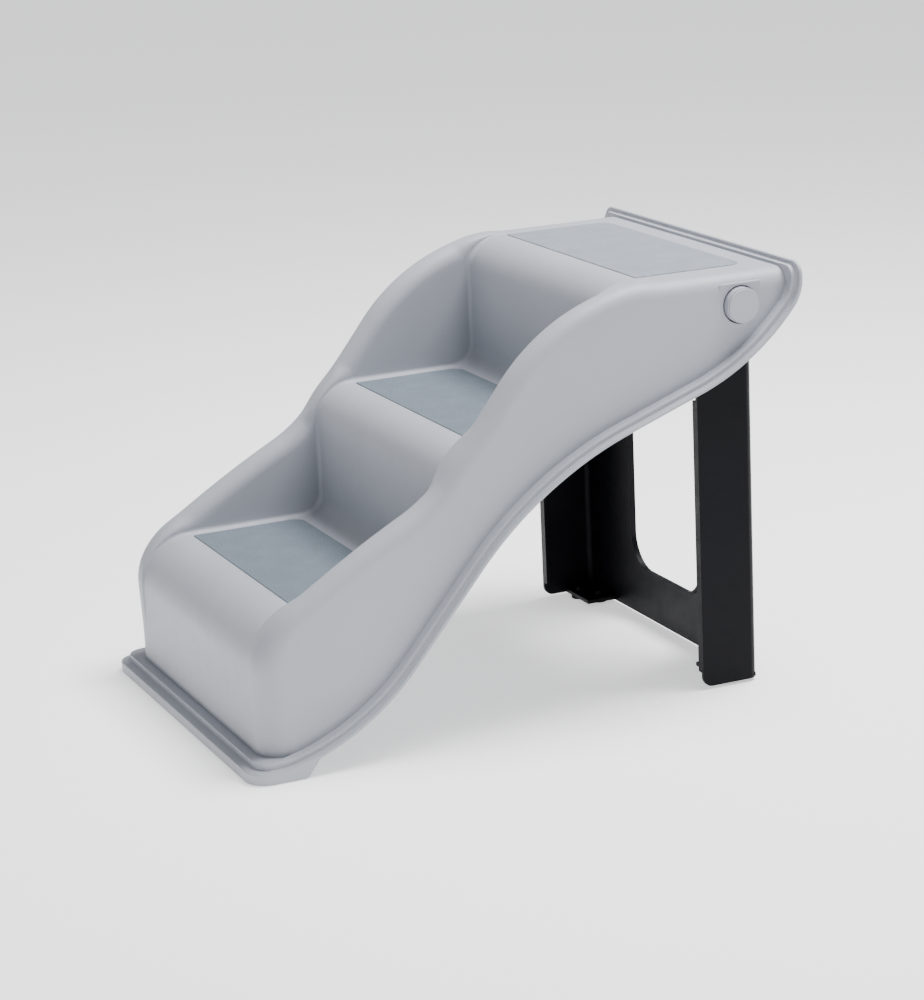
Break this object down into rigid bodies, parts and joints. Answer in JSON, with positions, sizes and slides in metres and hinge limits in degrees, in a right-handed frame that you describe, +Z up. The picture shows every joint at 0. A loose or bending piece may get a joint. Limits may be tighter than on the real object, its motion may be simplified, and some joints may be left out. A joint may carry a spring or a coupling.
{
  "type": "folding pet steps",
  "caption": "Folding pet steps: matted treads between S-curved side walls of one moulded shell, on a U-shaped rear leg frame that folds under, with release buttons.",
  "frame": {"origin": "on the floor, below the middle of the bounding box", "axes": "+X the climbing direction, from the front feet towards the leg frame; +Y the left side when climbing; +Z up"},
  "size_m": [0.576, 0.4, 0.412],
  "materials": {
    "shell_plastic": "fine moulded texture, light cool grey",
    "grip_mat": "fine grit, blue grey",
    "leg_plastic": "satin black",
    "foot_rubber": "matt black",
    "steel": "bright zinc plated",
    "nylon": "natural nylon"
  },
  "bodies": {
    "shell": {"body_shell": "shell_plastic", "tread_mat_lower": "grip_mat", "tread_mat_middle": "grip_mat", "tread_mat_top": "grip_mat", "front_rubber_foot_left": "foot_rubber", "hinge_housing_left": "leg_plastic", "housing_screws_left": "steel", "pivot_sleeve_left": "steel", "thrust_washers_left": "nylon", "button_spring_left": "steel", "latch_spring_left": "steel", "latch_screw_left": "steel", "front_rubber_foot_right": "foot_rubber", "hinge_housing_right": "leg_plastic", "housing_screws_right": "steel", "pivot_sleeve_right": "steel", "thrust_washers_right": "nylon", "button_spring_right": "steel", "latch_spring_right": "steel", "latch_screw_right": "steel"},
    "leg": {"leg_frame": "leg_plastic", "rear_rubber_feet_left": "foot_rubber", "rear_rubber_feet_right": "foot_rubber"},
    "button_left": {"release_button_left": "shell_plastic", "retaining_clip_left": "steel"},
    "button_right": {"release_button_right": "shell_plastic", "retaining_clip_right": "steel"}
  },
  "joints": [
    {"name": "leg_fold", "type": "hinge", "parent": "shell", "child": "leg", "pos_m": [0.231, 0, 0.376], "axis": [0, 1, 0], "range_deg": [0, 48], "deforming": ["latch_spring_left", "latch_spring_right"]},
    {"name": "button_press_left", "type": "slide", "parent": "shell", "child": "button_left", "axis": [0, -1, 0], "range_m": [0, 0.005], "stiffness_N_per_m": 800, "springref_m": -0.002, "deforming": ["button_spring_left", "latch_spring_left"]},
    {"name": "button_press_right", "type": "slide", "parent": "shell", "child": "button_right", "axis": [0, 1, 0], "range_m": [0, 0.005], "stiffness_N_per_m": 800, "springref_m": -0.002, "deforming": ["button_spring_right", "latch_spring_right"]}
  ]
}
